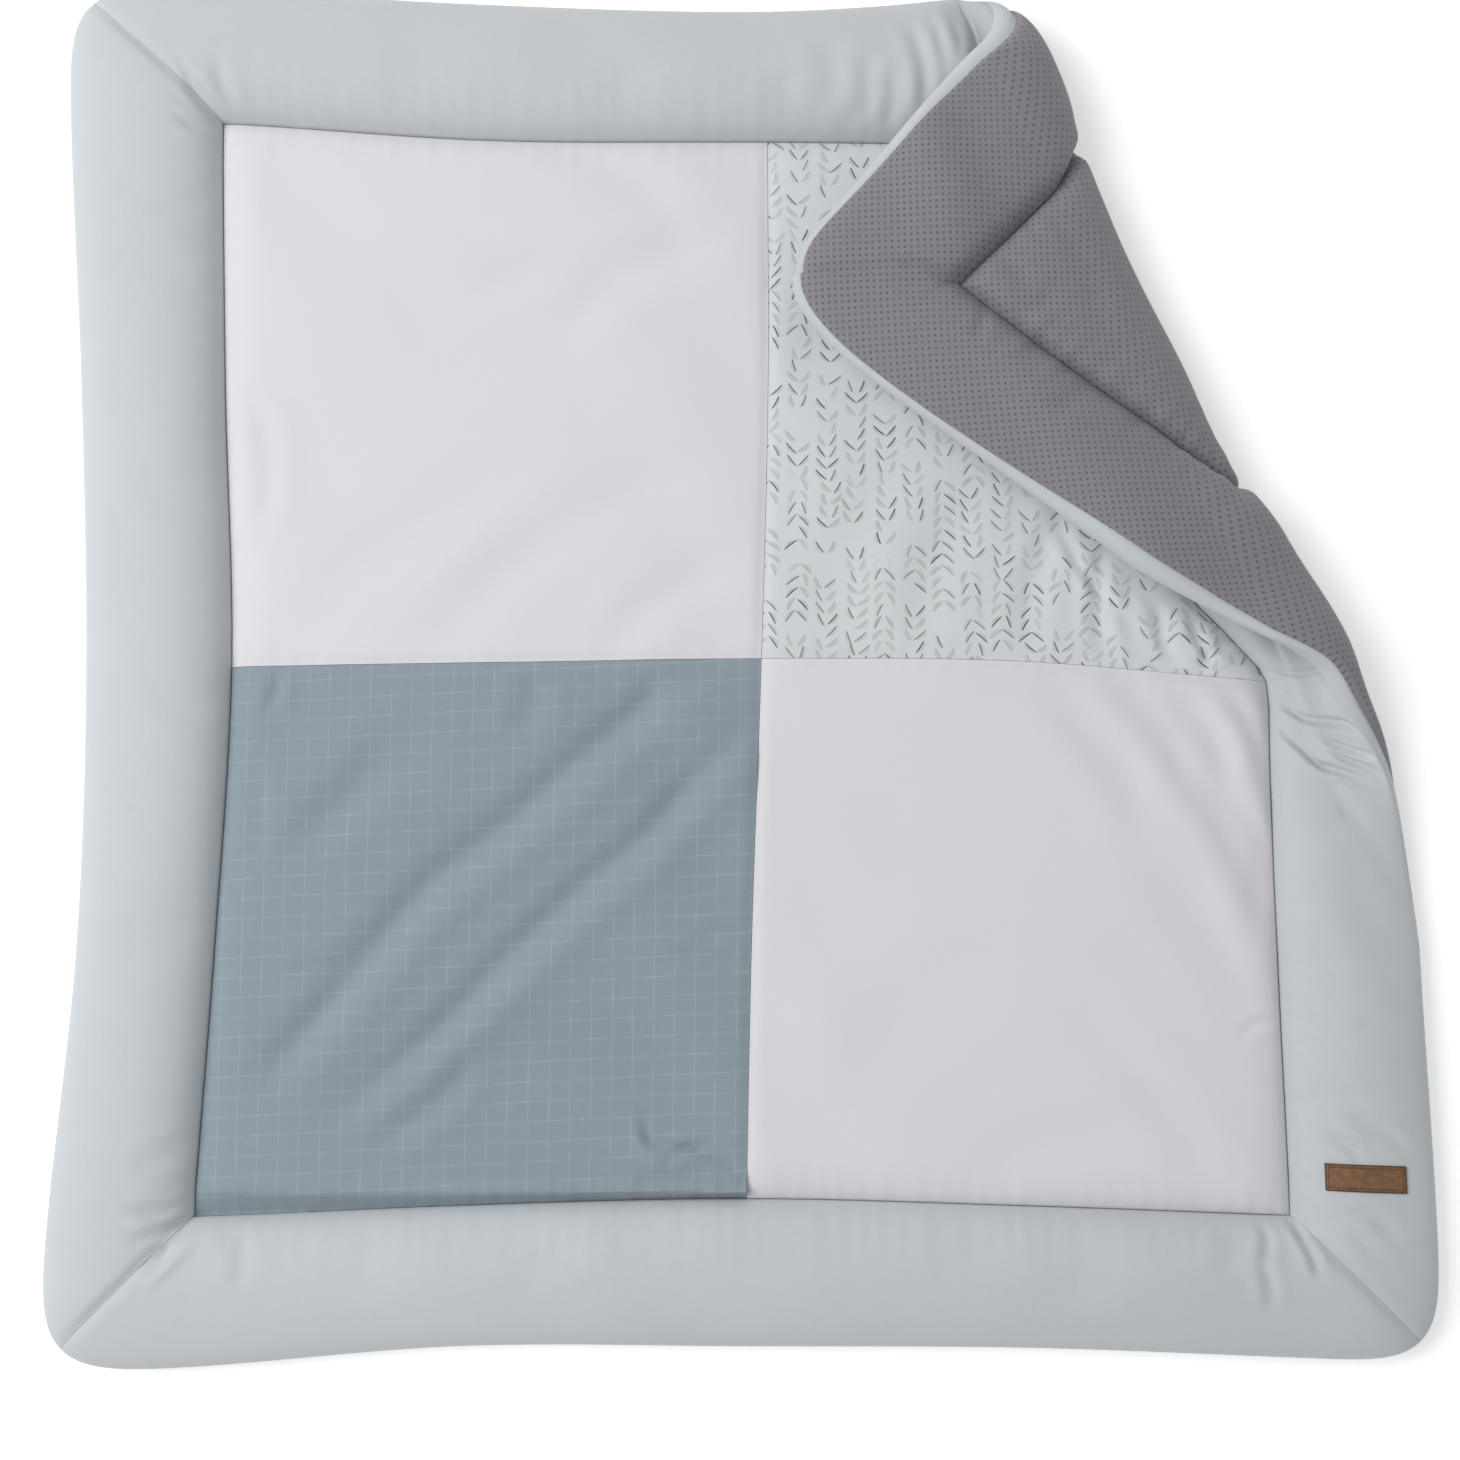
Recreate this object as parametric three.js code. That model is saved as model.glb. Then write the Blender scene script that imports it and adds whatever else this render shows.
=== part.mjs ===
// Baby play mat: a square quilted mat that lies flat, with one corner folded over.
// Four padded patches and four padded border strips are sewn onto one backing cloth.
// The frame: +Z up, origin at the middle of the underside, +Y towards the top of the mat.

import * as THREE from 'three';

// Driving sizes, in millimetres
const HALF_SIDE = 500;
const HALF_PANEL = 392;
const BORDER_WIDTH = HALF_SIDE - HALF_PANEL;
const CORNER_ROUNDNESS = 4.4;
const SEWING_GAP = 0.3;
const BACKING_THICKNESS = 1.6;

// Height of the padding over the floor
const BORDER_CREST = 40;
const PANEL_CROWN = 22;
const SEAM_HEIGHT = 6;
const EDGE_HEIGHT = 15;
const FREE_EDGE_THICKNESS = 26;
const EDGE_LIFT = 10;
const LIFT_WIDTH = 26;
const ROLL_WIDTH = 50;

// The folded corner
const FOLD_TOWARDS = new THREE.Vector2(0.918, 0.397);
const TIGHT_RADIUS = 34;
const FOLD_TURN = THREE.MathUtils.degToRad(187);
const BULGE_START = THREE.MathUtils.degToRad(15);
const BULGE_END = THREE.MathUtils.degToRad(70);
const BULGE_SHARE = 0.55;
const SQUEEZE = 0.4;
const SQUEEZE_IN = [THREE.MathUtils.degToRad(-35), THREE.MathUtils.degToRad(15)];
const SQUEEZE_OUT = [THREE.MathUtils.degToRad(80), THREE.MathUtils.degToRad(165)];

// The label on the right border
const LABEL_INNER = 22;
const LABEL_OUTER = 83;
const LABEL_MIDDLE = -361;
const LABEL_HALF_HEIGHT = 10;
const LABEL_THICKNESS = 1.2;

// Where the lines across the mat run: x of each line, a row for each height t on the pattern
const UPRIGHT_LINES = [
  { t: -500, leftEdge: -508, leftSeam: -401, middle: 0, rightSeam: 396, rightEdge: 500 },
  { t: -392, leftEdge: -504, leftSeam: -400, middle: 0, rightSeam: 394, rightEdge: 498 },
  { t: -200, leftEdge: -489, leftSeam: -390, middle: 2, rightSeam: 386, rightEdge: 488 },
  { t: 0, leftEdge: -488, leftSeam: -383, middle: 7, rightSeam: 381, rightEdge: 480 },
  { t: 200, leftEdge: -498, leftSeam: -393, middle: 10, rightSeam: 391, rightEdge: 481 },
  { t: 392, leftEdge: -512, leftSeam: -400, middle: 8, rightSeam: 407, rightEdge: 489 },
  { t: 500, leftEdge: -514, leftSeam: -402, middle: 8, rightSeam: 409, rightEdge: 491 },
];

// y of each line, a row for each place s on the pattern
const LEVEL_LINES = [
  { s: -500, bottomEdge: -516, bottomSeam: -408, middle: -8, topSeam: 406, topEdge: 506 },
  { s: -392, bottomEdge: -512, bottomSeam: -406, middle: -6, topSeam: 404, topEdge: 503 },
  { s: -200, bottomEdge: -495, bottomSeam: -396, middle: -1, topSeam: 393, topEdge: 494 },
  { s: 0, bottomEdge: -493, bottomSeam: -389, middle: 4, topSeam: 394, topEdge: 491 },
  { s: 200, bottomEdge: -492, bottomSeam: -392, middle: 4, topSeam: 394, topEdge: 504 },
  { s: 392, bottomEdge: -497, bottomSeam: -397, middle: -8, topSeam: 398, topEdge: 500 },
  { s: 500, bottomEdge: -500, bottomSeam: -400, middle: -10, topSeam: 400, topEdge: 500 },
];

// The fold, a row for each place along it: distance towards the corner where it starts, and the
// radius of the roll, which opens where the fold runs out into the right border
const FOLD_LINE = [
  { along: -420, start: 374, radius: 110 },
  { along: -310, start: 358, radius: 92 },
  { along: -250, start: 349, radius: 70 },
  { along: -200, start: 350, radius: 50 },
  { along: -150, start: 356, radius: 39.5 },
  { along: -95, start: 355, radius: 34.5 },
  { along: -26, start: 346, radius: 34 },
  { along: 140, start: 335, radius: 34 },
  { along: 420, start: 334, radius: 34 },
];

// Grid lines of the pattern: across a border strip from its seam, and over the panel
const BORDER_STEPS = [0, 10, 26, 45, 63, 82, 98, 108];
const PANEL_COLUMNS = [-380, -362, -342, -250, -165, -80, 0, 75, 145];
const FOLD_COLUMN_STEP = 13;
const PANEL_ROWS = [-380, -362, -342, -260, -180, -100];
const FOLD_ROW_STEP = 30;
const ROLL_STEPS = [342, 362, 380];

const COLOURS = {
  border: 0xc2cacd,
  white: 0xd9d9dd,
  leaf: 0xd8dddd,
  blue: 0x8899a1,
  backing: 0x928f94,
  label: 0x795b42,
};

const PATTERN_LINES = [-HALF_SIDE, -HALF_PANEL, 0, HALF_PANEL, HALF_SIDE];

// Smooth curve through a row of values: cubic pieces whose slopes are those of the neighbours
function curveThrough(places, values, place) {
  const last = places.length - 1;
  const at = THREE.MathUtils.clamp(place, places[0], places[last]);
  let i = 0;
  while (i < last - 1 && at > places[i + 1]) i += 1;
  const slope = (k) => {
    const before = Math.max(k - 1, 0);
    const after = Math.min(k + 1, last);
    return (values[after] - values[before]) / (places[after] - places[before]);
  };
  const width = places[i + 1] - places[i];
  const u = (at - places[i]) / width;
  const ease = u * u * (3 - 2 * u);
  const rise = u * (1 - u) * (1 - u);
  const fall = u * u * (1 - u);
  return values[i] * (1 - ease) + values[i + 1] * ease + width * (slope(i) * rise - slope(i + 1) * fall);
}

function readLine(table, key, name, place) {
  return curveThrough(table.map((row) => row[key]), table.map((row) => row[name]), place);
}

// A square corner drawn in to a rounded one, more so towards the outer edge
function roundCorner(s, t) {
  const p = (Math.abs(s) - HALF_PANEL) / BORDER_WIDTH;
  const q = (Math.abs(t) - HALF_PANEL) / BORDER_WIDTH;
  if (p <= 0 || q <= 0) return [s, t];
  const share = Math.min(p, q) / Math.max(p, q);
  const pull = (1 + share ** CORNER_ROUNDNESS) ** (-1 / CORNER_ROUNDNESS);
  const draw = (value, part) => Math.sign(value) * (HALF_PANEL + part * pull * BORDER_WIDTH);
  return [draw(s, p), draw(t, q)];
}

// The pattern as it lies on the floor, a little uneven
function layOut(s, t) {
  const [sr, tr] = roundCorner(s, t);
  const uprights = ['leftEdge', 'leftSeam', 'middle', 'rightSeam', 'rightEdge'];
  const levels = ['bottomEdge', 'bottomSeam', 'middle', 'topSeam', 'topEdge'];
  const xs = uprights.map((name) => readLine(UPRIGHT_LINES, 't', name, tr));
  const ys = levels.map((name) => readLine(LEVEL_LINES, 's', name, sr));
  return [curveThrough(PATTERN_LINES, xs, sr), curveThrough(PATTERN_LINES, ys, tr)];
}

// A quarter round: 0 at the seam, 1 once the padding is full
function quarterRound(share) {
  const left = 1 - THREE.MathUtils.clamp(share, 0, 1);
  return Math.sqrt(1 - left * left);
}

// Height of the face over the backing's plane; the outer edge has its own height
function faceHeight(s, t, edgeHeight) {
  const out = Math.max(Math.abs(s), Math.abs(t));
  if (out <= HALF_PANEL) {
    return SEAM_HEIGHT + (PANEL_CROWN - SEAM_HEIGHT) * quarterRound((HALF_PANEL - out) / ROLL_WIDTH);
  }
  const across = (out - HALF_PANEL) / BORDER_WIDTH;
  const foot = across < 0.5 ? SEAM_HEIGHT : edgeHeight;
  return foot + (BORDER_CREST - foot) * quarterRound(1 - Math.abs(2 * across - 1));
}

// Height of the backing over the floor where the mat lies flat: it turns up at the outer edge
function backHeight(s, t) {
  const inside = HALF_SIDE - Math.max(Math.abs(s), Math.abs(t));
  return EDGE_LIFT * (1 - quarterRound(inside / LIFT_WIDTH));
}

// Distance past the start of the fold, and how far the cloth has turned there
function foldAt(x, y) {
  const towards = x * FOLD_TOWARDS.x + y * FOLD_TOWARDS.y;
  const along = y * FOLD_TOWARDS.x - x * FOLD_TOWARDS.y;
  const start = readLine(FOLD_LINE, 'along', 'start', along);
  const radius = Math.max(readLine(FOLD_LINE, 'along', 'radius', along), TIGHT_RADIUS);
  const past = towards - start;
  const turn = Math.min(past / radius, FOLD_TURN);
  return { along, start, radius, past, turn };
}

// Rolls the cloth over a round; height is measured from the backing's plane
function bend(x, y, height) {
  const fold = foldAt(x, y);
  if (fold.past < 0) return new THREE.Vector3(x, y, height);
  const straight = fold.past - fold.turn * fold.radius;
  const sin = Math.sin(fold.turn);
  const cos = Math.cos(fold.turn);
  const towards = fold.start + (fold.radius - height) * sin + straight * cos;
  const z = fold.radius * (1 - cos) + height * cos + straight * sin;
  return new THREE.Vector3(
    towards * FOLD_TOWARDS.x - fold.along * FOLD_TOWARDS.y,
    towards * FOLD_TOWARDS.y + fold.along * FOLD_TOWARDS.x,
    z,
  );
}

// Levels of the backing's outer skin and of the face at a point of the pattern
function skinLevels(s, t) {
  const { radius, turn } = foldAt(...layOut(s, t));
  const inside = THREE.MathUtils.smoothstep(turn, ...SQUEEZE_IN)
    - THREE.MathUtils.smoothstep(turn, ...SQUEEZE_OUT);
  const squeezed = inside * (TIGHT_RADIUS / radius) ** 2;
  const free = THREE.MathUtils.smoothstep(turn, BULGE_START, BULGE_END);
  const lying = faceHeight(s, t, EDGE_HEIGHT) - backHeight(s, t);
  const full = THREE.MathUtils.lerp(lying, faceHeight(s, t, FREE_EDGE_THICKNESS), free);
  const thick = full - SQUEEZE * squeezed * Math.max(full - SEAM_HEIGHT, 0);
  const bulged = -BULGE_SHARE * Math.max(thick - SEAM_HEIGHT, 0);
  const back = THREE.MathUtils.lerp(backHeight(s, t), bulged, free);
  return { back, face: back + thick };
}

// A point of the mat, for a place on the pattern that may be drawn back a little from its seam
function matPoint([s, t], drawn, level) {
  const [x, y] = layOut(...drawn);
  return bend(x, y, level(skinLevels(s, t)));
}

const backingOuter = (skins) => skins.back;
const backingInner = (skins) => skins.back + BACKING_THICKNESS;
const padUnder = (skins) => skins.back + BACKING_THICKNESS + SEWING_GAP;
const padFace = (skins) => skins.face;
const labelUnder = (skins) => skins.face + SEWING_GAP;
const labelFace = (skins) => skins.face + SEWING_GAP + LABEL_THICKNESS;

// Evenly spaced values after the first one, up to and without the last one
function stepsBetween(from, to, step) {
  const count = Math.round((to - from) / step);
  return Array.from({ length: count - 1 }, (unused, i) => from + ((i + 1) * (to - from)) / count);
}

function gridLines(panel, foldStep) {
  const low = BORDER_STEPS.map((step) => -HALF_PANEL - step).reverse();
  const high = BORDER_STEPS.map((step) => HALF_PANEL + step);
  const rest = panel[panel.length - 1];
  const toMiddle = rest < 0 ? [...stepsBetween(rest, 0, foldStep), 0] : [];
  const fine = stepsBetween(Math.max(rest, 0), ROLL_STEPS[0], foldStep);
  return [...low, ...panel, ...toMiddle, ...fine, ...ROLL_STEPS, ...high];
}

const COLUMNS = gridLines(PANEL_COLUMNS, FOLD_COLUMN_STEP);
const ROWS = gridLines(PANEL_ROWS, FOLD_ROW_STEP);

// The lines around a quarter of the panel that lies to the given side and end of the middle
function quarterSides(side, end) {
  return [[-side, 0, 0], [side, 0, HALF_PANEL], [0, -end, 0], [0, end, HALF_PANEL]];
}

// Pieces of the pattern, each inside a few lines: a * s + b * t <= c
const PIECES = {
  quarter_tl: { colour: COLOURS.white, sides: quarterSides(-1, 1) },
  quarter_tr: { colour: COLOURS.leaf, sides: quarterSides(1, 1) },
  quarter_bl: { colour: COLOURS.blue, sides: quarterSides(-1, -1) },
  quarter_br: { colour: COLOURS.white, sides: quarterSides(1, -1) },
  border_top: { colour: COLOURS.border, sides: [[0, -1, -HALF_PANEL], [1, -1, 0], [-1, -1, 0]] },
  border_right: { colour: COLOURS.border, sides: [[-1, 0, -HALF_PANEL], [-1, 1, 0], [-1, -1, 0]] },
  border_bottom: { colour: COLOURS.border, sides: [[0, 1, -HALF_PANEL], [1, 1, 0], [-1, 1, 0]] },
  border_left: { colour: COLOURS.border, sides: [[1, 0, -HALF_PANEL], [1, 1, 0], [1, -1, 0]] },
};

const liesInside = (sides, s, t) => sides.every(([a, b, c]) => a * s + b * t <= c);

// Draws a point that lies on a side of the piece back by half the gap between pieces
function drawBack(sides, s, t) {
  let [si, ti] = [s, t];
  for (const [a, b, c] of sides) {
    const over = (a * s + b * t - c) / Math.hypot(a, b) + SEWING_GAP / 2;
    if (over > 0) {
      si -= (a * over) / Math.hypot(a, b);
      ti -= (b * over) / Math.hypot(a, b);
    }
  }
  return [si, ti];
}

// Flat triangles of the pattern that lie inside the sides, on the given grid lines
function patternTriangles(columns, rows, sides) {
  const triangles = [];
  for (let i = 0; i + 1 < columns.length; i += 1) {
    for (let j = 0; j + 1 < rows.length; j += 1) {
      const [s0, s1, t0, t1] = [columns[i], columns[i + 1], rows[j], rows[j + 1]];
      const [s2, t2] = [s0 + s1, t0 + t1];
      const atMitre = Math.min(Math.abs(s2), Math.abs(t2)) > 2 * HALF_PANEL && s2 * t2 > 0;
      const cell = atMitre
        ? [[[s0, t0], [s1, t0], [s1, t1]], [[s0, t0], [s1, t1], [s0, t1]]]
        : [[[s0, t0], [s1, t0], [s0, t1]], [[s1, t0], [s1, t1], [s0, t1]]];
      for (const corners of cell) {
        const s = (corners[0][0] + corners[1][0] + corners[2][0]) / 3;
        const t = (corners[0][1] + corners[1][1] + corners[2][1]) / 3;
        if (liesInside(sides, s, t)) triangles.push(corners);
      }
    }
  }
  return triangles;
}

// The two triangles of a wall under the edge from p to q; walls that face each other are cut alike
function wallFaces(p, q, total, forwards) {
  const [below, belowNext] = [p + total, q + total];
  return forwards ? [p, below, q, q, below, belowNext] : [p, below, belowNext, p, belowNext, q];
}

// A closed solid over flat triangles: a skin at the upper level, one at the lower level and walls
function paddedSolid(triangles, sides, lower, upper) {
  const places = new Map();
  const indexed = triangles.map((corners) => corners.map(([s, t]) => {
    const key = `${s},${t}`;
    const drawn = drawBack(sides, s, t);
    if (!places.has(key)) places.set(key, { number: places.size, place: [s, t], drawn });
    return places.get(key).number;
  }));
  const points = [...places.values()];
  const total = points.length;
  const positions = [
    ...points.flatMap(({ place, drawn }) => matPoint(place, drawn, upper).toArray()),
    ...points.flatMap(({ place, drawn }) => matPoint(place, drawn, lower).toArray()),
  ];
  const faces = [];
  const directed = new Set();
  for (const [a, b, c] of indexed) {
    faces.push(a, b, c, a + total, c + total, b + total);
    for (const edge of [[a, b], [b, c], [c, a]]) directed.add(edge.join());
  }
  for (const [a, b, c] of indexed) {
    for (const [p, q] of [[a, b], [b, c], [c, a]]) {
      if (directed.has([q, p].join())) continue;
      const [from, to] = [points[p].place, points[q].place];
      faces.push(...wallFaces(p, q, total, from[0] - from[1] < to[0] - to[1]));
    }
  }
  const geometry = new THREE.BufferGeometry();
  geometry.setAttribute('position', new THREE.Float32BufferAttribute(positions, 3));
  geometry.setIndex(faces);
  geometry.computeVertexNormals();
  return geometry;
}

function cloth(name, geometry, colour, roughness) {
  const material = new THREE.MeshStandardMaterial({ color: colour, roughness, metalness: 0 });
  const mesh = new THREE.Mesh(geometry, material);
  mesh.name = name;
  return mesh;
}

function makePads(mat) {
  for (const [name, { colour, sides }] of Object.entries(PIECES)) {
    const triangles = patternTriangles(COLUMNS, ROWS, sides);
    mat.add(cloth(name, paddedSolid(triangles, sides, padUnder, padFace), colour, 0.9));
  }
}

function makeBacking(mat) {
  const triangles = patternTriangles(COLUMNS, ROWS, []);
  mat.add(cloth('backing', paddedSolid(triangles, [], backingOuter, backingInner), COLOURS.backing, 0.9));
}

// The label keeps to the border's own grid lines across its crest, so that it lies close on it
function makeLabel(mat) {
  const inner = BORDER_STEPS.filter((step) => step > LABEL_INNER && step < LABEL_OUTER);
  const columns = [LABEL_INNER, ...inner, LABEL_OUTER].map((step) => HALF_PANEL + step);
  const rows = [LABEL_MIDDLE - LABEL_HALF_HEIGHT, LABEL_MIDDLE + LABEL_HALF_HEIGHT];
  const triangles = patternTriangles(columns, rows, []);
  mat.add(cloth('label', paddedSolid(triangles, [], labelUnder, labelFace), COLOURS.label, 0.6));
}

const playMat = new THREE.Group();
makePads(playMat);
makeBacking(playMat);
makeLabel(playMat);

export default playMat;
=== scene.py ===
# %% [markdown]
# A baby play mat: a square quilted mat, laid flat and looked at from above, with one corner
# folded over so that its dotted backing shows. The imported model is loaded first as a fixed
# frame, and every piece below is made around it, in metres.

# %% The frame
import math

import bpy
import numpy as np
from mathutils import Matrix, Vector


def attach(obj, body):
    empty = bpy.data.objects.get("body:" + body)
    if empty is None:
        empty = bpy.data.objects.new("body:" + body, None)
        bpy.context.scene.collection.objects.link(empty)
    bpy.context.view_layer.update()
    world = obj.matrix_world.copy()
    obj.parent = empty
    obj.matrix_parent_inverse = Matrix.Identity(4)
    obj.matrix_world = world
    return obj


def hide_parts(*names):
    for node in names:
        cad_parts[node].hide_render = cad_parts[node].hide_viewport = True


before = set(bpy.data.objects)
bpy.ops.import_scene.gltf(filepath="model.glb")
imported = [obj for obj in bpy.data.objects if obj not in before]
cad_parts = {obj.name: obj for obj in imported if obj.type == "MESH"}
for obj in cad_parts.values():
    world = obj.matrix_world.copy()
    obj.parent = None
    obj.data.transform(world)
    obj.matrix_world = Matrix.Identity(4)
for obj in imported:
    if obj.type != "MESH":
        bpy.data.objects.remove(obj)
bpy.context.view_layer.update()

MM = 0.001

# %% [markdown]
# ## The pattern and how it lies
#
# A quilt is easiest to think of as its sewing pattern: a flat square with a coordinate s to the
# right and t to the top. It could be sculpted by hand, but then the seams, the fold and the
# printed cloth would each have to be matched by eye. Here each piece is worked out on the
# pattern first, then the pattern is laid out as it lies on the floor, and last the corner is
# rolled over. Whatever is sewn or printed on the pattern follows along by itself.

# %% Sizes of the pattern, in millimetres
HALF_SIDE = 500
HALF_PANEL = 392
BORDER_WIDTH = HALF_SIDE - HALF_PANEL
CORNER_ROUNDNESS = 4.4
SEWING_GAP = 0.3
BACKING_THICKNESS = 1.6

BORDER_CREST = 40
PANEL_CROWN = 22
SEAM_HEIGHT = 6
LIFT_WIDTH = 26

PATTERN_LINES = (-HALF_SIDE, -HALF_PANEL, 0, HALF_PANEL, HALF_SIDE)

# x of the lines that run up the mat: t, left edge, left seam, middle, right seam, right edge
UPRIGHT_LINES = np.array([
    (-500, -508, -401, 0, 396, 500),
    (-392, -504, -400, 0, 394, 498),
    (-200, -489, -390, 2, 386, 488),
    (0, -488, -383, 7, 381, 480),
    (200, -498, -393, 10, 391, 481),
    (392, -512, -400, 8, 407, 489),
    (500, -514, -402, 8, 409, 491),
], float)

# y of the lines that run across: s, bottom edge, bottom seam, middle, top seam, top edge
LEVEL_LINES = np.array([
    (-500, -516, -408, -8, 406, 506),
    (-392, -512, -406, -6, 404, 503),
    (-200, -495, -396, -1, 393, 494),
    (0, -493, -389, 4, 394, 491),
    (200, -492, -392, 4, 394, 504),
    (392, -497, -397, -8, 398, 500),
    (500, -500, -400, -10, 400, 500),
], float)

# Where the corner is folded over: the direction in which it points, and how far the right seam
# is pulled back from it, as t and millimetres
FOLD_TOWARDS = np.array([0.918, 0.397])
SEAM_PULL = np.array([
    (-20, 0), (0, 2), (12, 8), (25, 18), (51, 38), (75, 58), (95, 72), (110, 76), (122, 66),
    (134, 42), (146, 16), (158, 0),
], float)
PULL_FROM = 150


# %% Laying the pattern out
def through(places, values, at):
    """Smooth curve through values at places: cubic pieces whose slopes are the neighbours'
    rise over run, and a straight run past either end. values has a row for each place."""
    places = np.asarray(places, float)
    values = np.asarray(values, float)
    at = np.asarray(at, float)
    last = len(places) - 1
    inside = np.clip(at, places[0], places[last])
    i = np.clip(np.searchsorted(places, inside) - 1, 0, last - 1)
    before = np.maximum(np.arange(last + 1) - 1, 0)
    after = np.minimum(np.arange(last + 1) + 1, last)
    run = (places[after] - places[before]).reshape((-1,) + (1,) * (values.ndim - 1))
    slopes = (values[after] - values[before]) / run

    def pick(table, k):
        return table[k] if values.ndim == 1 else np.take_along_axis(table, k[None], 0)[0]

    width = places[i + 1] - places[i]
    u = (inside - places[i]) / width
    ease = u * u * (3 - 2 * u)
    rise = u * (1 - u) ** 2 * pick(slopes, i) * width
    fall = u * u * (1 - u) * pick(slopes, i + 1) * width
    end = np.where(at < places[0], pick(slopes, i), pick(slopes, i + 1))
    curve = pick(values, i) * (1 - ease) + pick(values, i + 1) * ease + rise - fall
    return curve + (at - inside) * end


def smooth(x, low, high):
    """Eases from 0 at low to 1 at high."""
    u = np.clip((x - low) / (high - low), 0, 1)
    return u * u * (3 - 2 * u)


def round_corner(s, t):
    """A square corner drawn in to a superellipse, in rings that grow from the seam's corner."""
    p = (np.abs(s) - HALF_PANEL) / BORDER_WIDTH
    q = (np.abs(t) - HALF_PANEL) / BORDER_WIDTH
    corner = (p > 0) & (q > 0)
    share = np.where(corner, np.minimum(p, q) / np.maximum(np.maximum(p, q), 1e-9), 0)
    pull = (1 + share**CORNER_ROUNDNESS) ** (-1 / CORNER_ROUNDNESS)
    drawn_s = np.sign(s) * (HALF_PANEL + p * pull * BORDER_WIDTH)
    drawn_t = np.sign(t) * (HALF_PANEL + q * pull * BORDER_WIDTH)
    return np.where(corner, drawn_s, s), np.where(corner, drawn_t, t)


def lay_out(s, t):
    """The pattern as it lies: each point takes its x and y from the five lines around it. The
    right seam is then pulled back from the fold, and the cloth beside it eases that out."""
    s, t = round_corner(s, t)
    xs = np.stack([through(UPRIGHT_LINES[:, 0], UPRIGHT_LINES[:, k], t) for k in range(1, 6)])
    ys = np.stack([through(LEVEL_LINES[:, 0], LEVEL_LINES[:, k], s) for k in range(1, 6)])
    beside = smooth(s, PULL_FROM, HALF_PANEL) * np.clip((HALF_SIDE - s) / BORDER_WIDTH, 0, 1)
    pull = beside * np.maximum(np.interp(t, SEAM_PULL[:, 0], SEAM_PULL[:, 1]), 0)
    x = through(PATTERN_LINES, xs, s) - pull * FOLD_TOWARDS[0]
    y = through(PATTERN_LINES, ys, t) - pull * FOLD_TOWARDS[1]
    return x, y


print("side of the laid pattern", lay_out(np.array([-500.0, 500.0]), np.zeros(2))[0])

# %% [markdown]
# ## The folded corner
#
# The corner is rolled over a round of 34 mm, which opens up where the fold runs out into the
# right border. On the real mat the outer cloth, here the backing, is taut on the outside of
# the roll, and the padding is squeezed on its inside, so heights over the backing's plane are
# measured towards the middle of the round.

# %% Sizes of the fold
TIGHT_RADIUS = 34
FOLD_TURN = math.radians(187)
BULGE_START, BULGE_END = math.radians(15), math.radians(70)
BULGE_SHARE = 0.55
SQUEEZE = 0.52
SQUEEZE_IN = math.radians(-35), math.radians(15)
SQUEEZE_OUT = math.radians(80), math.radians(165)

# The flap slides along the fold and sinks over one turn, and rises again over a distance
FLAP_SLIDE, FLAP_DROP = 12, 11
OVER_TURN = math.radians(70), math.radians(187)
FLAP_RISE = 24
RISE_OVER = 80, 190

# Along the fold: place, distance towards the corner where it starts, radius of the roll
FOLD = np.array([
    (-420, 374, 110), (-310, 358, 92), (-250, 349, 70), (-200, 350, 50), (-150, 356, 39.5),
    (-95, 355, 34.5), (-26, 346, 34), (140, 335, 34), (420, 334, 34),
])


# %% Rolling the corner over
def fold_at(x, y):
    """Place along the fold, its start and radius there, distance past the start, the turn."""
    towards = x * FOLD_TOWARDS[0] + y * FOLD_TOWARDS[1]
    along = y * FOLD_TOWARDS[0] - x * FOLD_TOWARDS[1]
    start = through(FOLD[:, 0], FOLD[:, 1], along)
    radius = np.maximum(through(FOLD[:, 0], FOLD[:, 2], along), TIGHT_RADIUS)
    past = towards - start
    return along, start, radius, past, np.minimum(past / radius, FOLD_TURN)


def bend(x, y, height):
    """Before the start the cloth is flat, then it follows the round, then it runs straight. On
    its way over it slides a little along the fold and sinks, and near the corner it rises."""
    along, start, radius, past, turn = fold_at(x, y)
    turn = np.maximum(turn, 0)
    straight = np.maximum(past - turn * radius, 0)
    sin, cos = np.sin(turn), np.cos(turn)
    towards = start + np.minimum(past, 0) + (radius - height) * sin + straight * cos
    z = radius * (1 - cos) + height * cos + straight * sin
    z = z - FLAP_DROP * smooth(turn, *OVER_TURN) + FLAP_RISE * smooth(past, *RISE_OVER)
    along = along - FLAP_SLIDE * smooth(turn, *OVER_TURN)
    back_x = towards * FOLD_TOWARDS[0] - along * FOLD_TOWARDS[1]
    back_y = towards * FOLD_TOWARDS[1] + along * FOLD_TOWARDS[0]
    return np.stack([back_x, back_y, z], -1)


print("roll over the right edge", fold_at(np.array([482.0]), np.array([-50.0]))[2:])


# %% [markdown]
# ## The padding
#
# Two cloths sewn together around wadding swell like a pillow: steep at the seam, flat at the
# crown. The border is fuller than the panel and ends in an outer seam, where its face strip
# meets the backing. On the floor the backing is pressed flat and the face takes all of the
# height. On the folded corner both sides are free, so the backing bulges as well, and the
# face strip rolls out past the outer seam as a pale rim.

# %% Sizes of the padding
SEAM_LEVEL, SIDE_RISE = 8.5, 11
LIP_WIDTH, LIP_POWER = 34, 2.4
RISE_POWER = 2.1
PATCH_SEAM_DIP, PATCH_SEAM_WIDTH = 1.8, 5
SEAM_FILL, SEAM_FILL_WIDTH = 1.8, 1.8
TUCK_DEPTH, TUCK_WIDTH = 7.5, 6
MITRE_DIP, MITRE_WIDTH = 3.4, 5

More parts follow.
